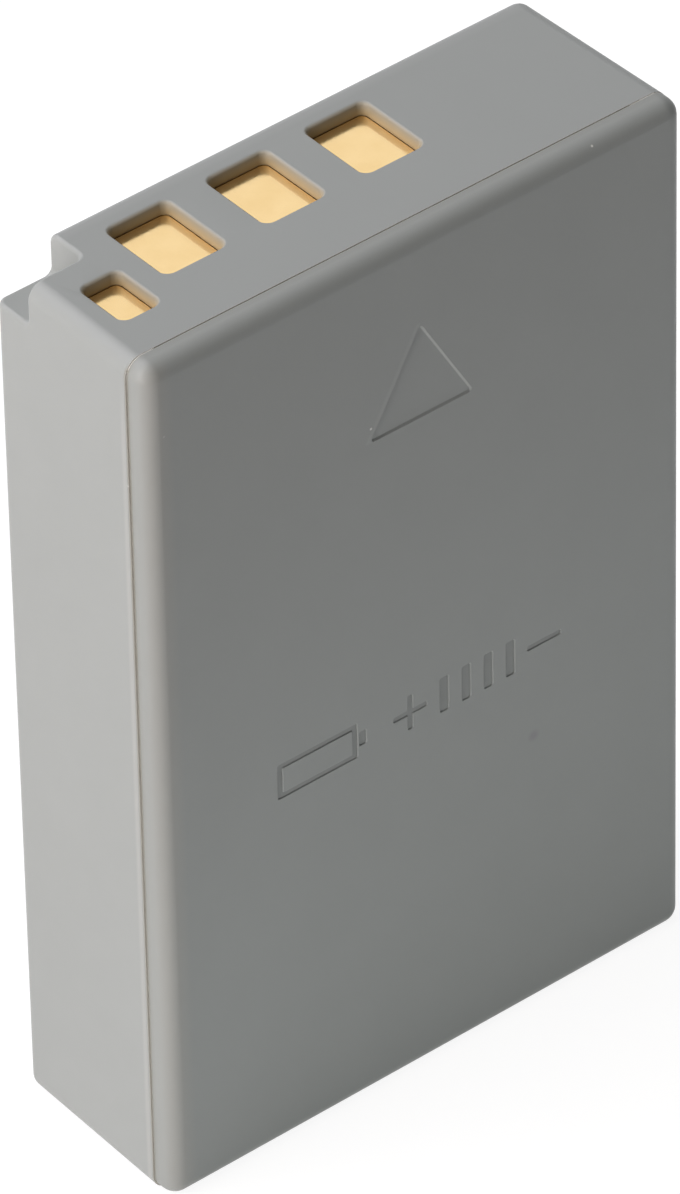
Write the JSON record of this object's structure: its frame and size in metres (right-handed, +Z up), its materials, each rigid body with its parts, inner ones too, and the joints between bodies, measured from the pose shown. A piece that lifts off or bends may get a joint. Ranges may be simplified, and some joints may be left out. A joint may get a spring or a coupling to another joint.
{
  "type": "camera battery",
  "caption": "Flat upright rechargeable camera battery: moulded case with a welded front cover, gold contacts in top windows, a keyed corner step and a sunk insertion arrow.",
  "frame": {"origin": "under the middle of the base, on the surface that the battery stands on", "axes": "+Z up towards the contact end, +Y from the front cover to the back, +X to the right seen from the front"},
  "size_m": [0.0356, 0.0124, 0.055],
  "materials": {
    "case_plastic": "satin moulded",
    "gold_plate": "gold plated, polished",
    "board_laminate": "lacquered",
    "chip_mould": "matte moulded",
    "chip_ceramic": "fired, tinned ends",
    "can_aluminium": "drawn",
    "gasket_plastic": "moulded",
    "nickel_strip": "rolled nickel",
    "fuse_mould": "moulded",
    "insulating_paper": "smooth pressed",
    "adhesive_sheet": "adhesive film",
    "black_foam": "closed-cell foam"
  },
  "bodies": {
    "root": {"case_tub": "case_plastic", "front_cover": "case_plastic", "circuit_board": "board_laminate", "contact_plate_1": "gold_plate", "contact_plate_2": "gold_plate", "contact_plate_3": "gold_plate", "contact_plate_small": "gold_plate", "switch_chip": "chip_mould", "guard_chip": "chip_mould", "chip_resistors": "chip_ceramic", "chip_capacitors": "chip_ceramic", "thermistor": "chip_ceramic", "series_link": "nickel_strip", "sense_strip": "nickel_strip", "negative_strip": "nickel_strip", "fuse_strip": "nickel_strip", "positive_strip": "nickel_strip", "thermal_fuse": "fuse_mould", "cell_tape": "adhesive_sheet", "rear_foam": "black_foam", "front_foam": "black_foam", "base_pad": "insulating_paper", "rear_insulator": "insulating_paper", "front_insulator": "insulating_paper", "rear_cell_can": "can_aluminium", "rear_cell_lid": "can_aluminium", "rear_cell_gasket": "gasket_plastic", "rear_cell_rivet": "nickel_strip", "rear_cell_tab": "nickel_strip", "front_cell_can": "can_aluminium", "front_cell_lid": "can_aluminium", "front_cell_gasket": "gasket_plastic", "front_cell_rivet": "nickel_strip", "front_cell_tab": "nickel_strip"}
  },
  "joints": []
}
